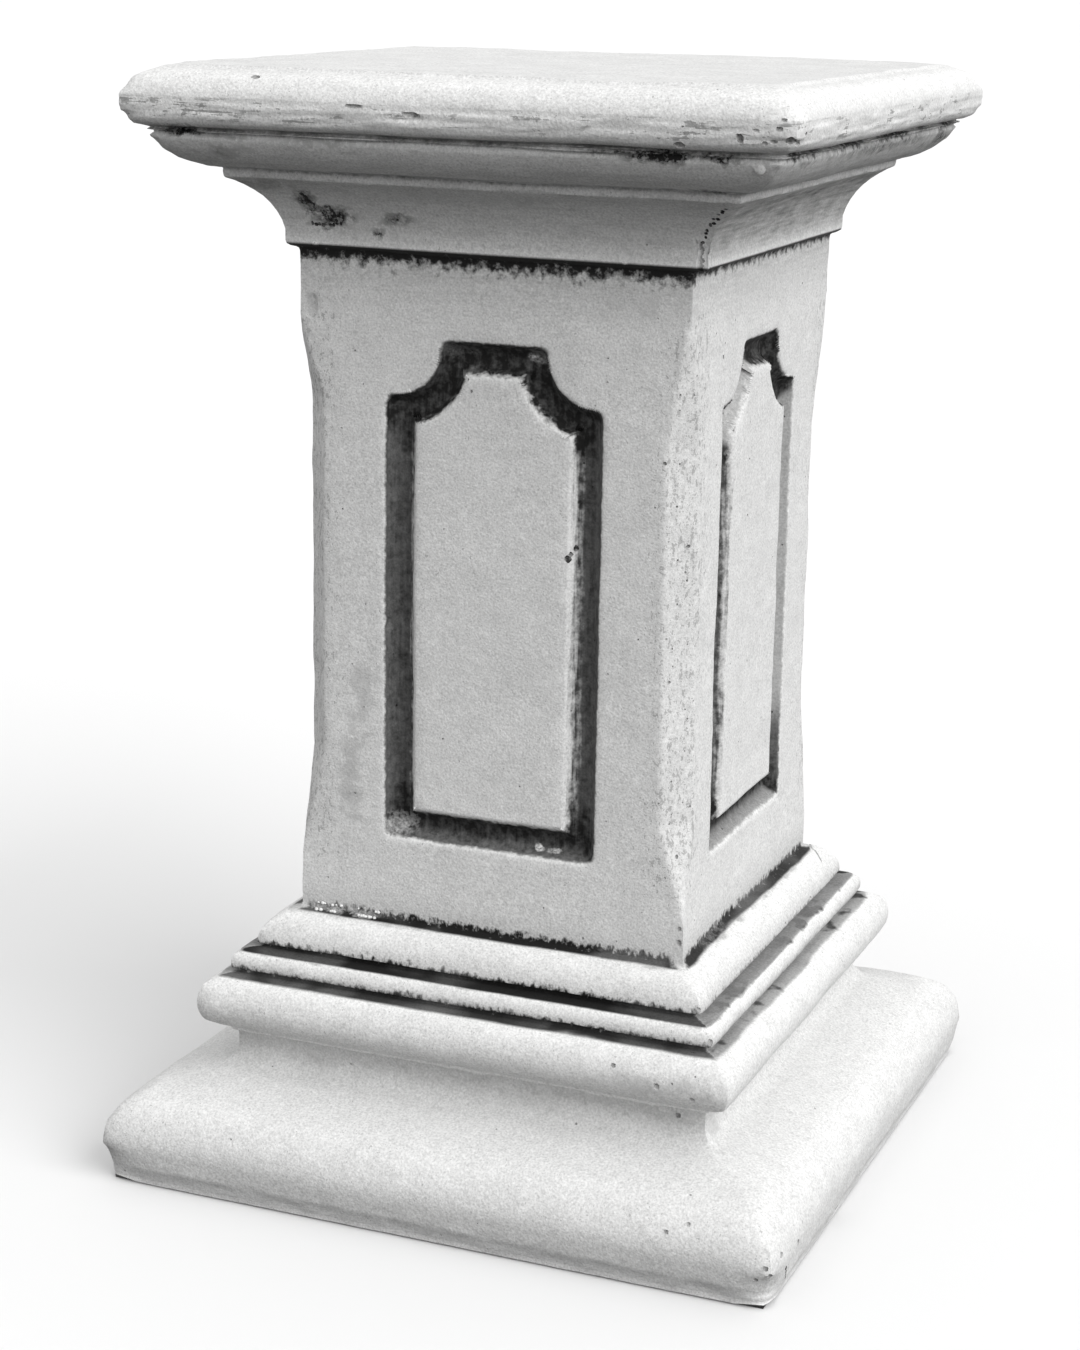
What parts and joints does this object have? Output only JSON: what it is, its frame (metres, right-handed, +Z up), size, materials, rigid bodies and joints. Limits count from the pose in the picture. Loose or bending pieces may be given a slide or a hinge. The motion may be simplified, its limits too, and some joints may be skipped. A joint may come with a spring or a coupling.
{
  "type": "garden pedestal",
  "caption": "Square cast-stone garden pedestal with a moulded base, a panelled shaft with stopped chamfers and a flat moulded cap.",
  "frame": {"origin": "centre of the square underside, at ground level", "axes": "+Z up along the shaft; X and Y square to the faces of the shaft"},
  "size_m": [0.3236, 0.3236, 0.5],
  "materials": {
    "cast_stone": "matte"
  },
  "bodies": {
    "root": {"pedestal": "cast_stone"}
  },
  "joints": []
}
